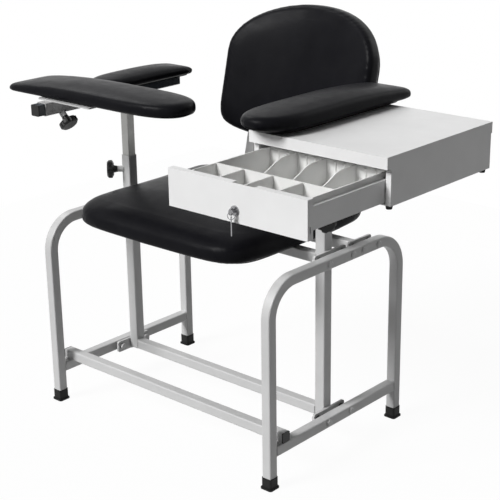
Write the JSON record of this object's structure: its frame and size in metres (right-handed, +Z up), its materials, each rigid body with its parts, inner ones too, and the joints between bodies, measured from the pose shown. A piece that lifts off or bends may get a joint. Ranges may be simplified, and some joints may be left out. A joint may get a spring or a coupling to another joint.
{
  "type": "phlebotomy chair",
  "caption": "Blood-drawing chair on bent square-tube side frames, with padded seat and back, a sliding front arm rest and a locking drawer cabinet under the right arm pad.",
  "frame": {"origin": "on the floor, under the middle of the whole chair's width and depth with the drawer pulled out", "axes": "+X to the right as seen from the front, where the cabinet is; +Y to the back; +Z up"},
  "size_m": [0.989, 0.7836, 0.8629],
  "materials": {
    "frame_paint": "satin",
    "post_paint": "satin",
    "zinc": "satin",
    "arm_paint": "satin",
    "boot_rubber": "matte",
    "black_plastic": "matte",
    "white_plastic": "satin",
    "vinyl": "satin",
    "lining": "matte",
    "cabinet_paint": "satin",
    "chrome": "polished"
  },
  "bodies": {
    "frame": {"side_frame_left": "frame_paint", "side_frame_right": "frame_paint", "boot_front_left": "boot_rubber", "boot_front_right": "boot_rubber", "boot_rear_left": "boot_rubber", "boot_rear_right": "boot_rubber", "front_crossbar": "frame_paint", "crossbar_plugs": "black_plastic", "post_left": "post_paint", "post_right": "post_paint", "lower_bar": "frame_paint", "upper_bar": "frame_paint", "rear_crossbar": "frame_paint", "plate_lower_left": "post_paint", "plate_lower_right": "post_paint", "plate_upper_left": "post_paint", "plate_upper_right": "post_paint", "plate_bolts": "zinc", "plate_spacers": "boot_rubber", "seat_board": "lining", "seat_cushion": "vinyl", "back_strap_left": "post_paint", "back_strap_right": "post_paint", "back_board": "lining", "back_cushion": "vinyl", "back_bolts": "zinc"},
    "left_arm": {"left_stem": "zinc", "arm_tube_left": "arm_paint", "arm_tube_plugs": "black_plastic", "side_pad_board": "lining", "side_pad": "vinyl"},
    "left_clamp": {"left_knob": "black_plastic"},
    "front_rest": {"sleeve": "post_paint", "rest_plate": "post_paint", "rest_screws": "black_plastic", "front_pad_board": "lining", "front_pad": "vinyl"},
    "rest_clamp": {"sleeve_knob": "black_plastic"},
    "right_arm": {"right_stem": "zinc", "carrier": "frame_paint", "carrier_plugs": "black_plastic", "cabinet_chassis": "cabinet_paint", "cabinet_cover": "cabinet_paint", "cabinet_feet": "boot_rubber", "cabinet_rails": "zinc", "right_pad_board": "lining", "right_pad": "vinyl"},
    "right_clamp": {"right_knob": "black_plastic"},
    "drawer": {"drawer_box": "cabinet_paint", "drawer_front": "cabinet_paint", "drawer_glides": "white_plastic", "tray": "white_plastic", "lock_body": "chrome"},
    "lock": {"lock_plug": "chrome", "key": "chrome"},
    "key_set": {"key_ring": "chrome", "spare_key": "chrome"}
  },
  "joints": [
    {"name": "left_arm_height", "type": "slide", "parent": "frame", "child": "left_arm", "axis": [0, 0, 1], "range_m": [-0.06, 0.06]},
    {"name": "left_clamp_turn", "type": "hinge", "parent": "frame", "child": "left_clamp", "pos_m": [-0.37021, -0.00216, 0.508], "axis": [-0.7071, -0.7071, 0], "range_deg": [0, 360]},
    {"name": "rest_slide", "type": "slide", "parent": "left_arm", "child": "front_rest", "axis": [0, 1, 0], "range_m": [-0.05, 0]},
    {"name": "rest_clamp_turn", "type": "hinge", "parent": "front_rest", "child": "rest_clamp", "pos_m": [-0.32779, -0.17845, 0.66779], "axis": [0.7071, 0, -0.7071], "range_deg": [0, 360]},
    {"name": "right_arm_height", "type": "slide", "parent": "frame", "child": "right_arm", "axis": [0, 0, 1], "range_m": [-0.045, 0.06]},
    {"name": "right_clamp_turn", "type": "hinge", "parent": "frame", "child": "right_clamp", "pos_m": [0.23521, -0.00216, 0.508], "axis": [0.7071, -0.7071, 0], "range_deg": [-360, 0]},
    {"name": "drawer_slide", "type": "slide", "parent": "right_arm", "child": "drawer", "axis": [0, 1, 0], "range_m": [0, 0.2135]},
    {"name": "lock_turn", "type": "hinge", "parent": "drawer", "child": "lock", "pos_m": [0.336, -0.37545, 0.64], "axis": [0, -1, 0], "range_deg": [0, 90]},
    {"name": "key_ring_swing", "type": "hinge", "parent": "lock", "child": "key_set", "pos_m": [0.336, -0.38528, 0.639], "axis": [1, 0, 0], "range_deg": [-60, 10]}
  ]
}
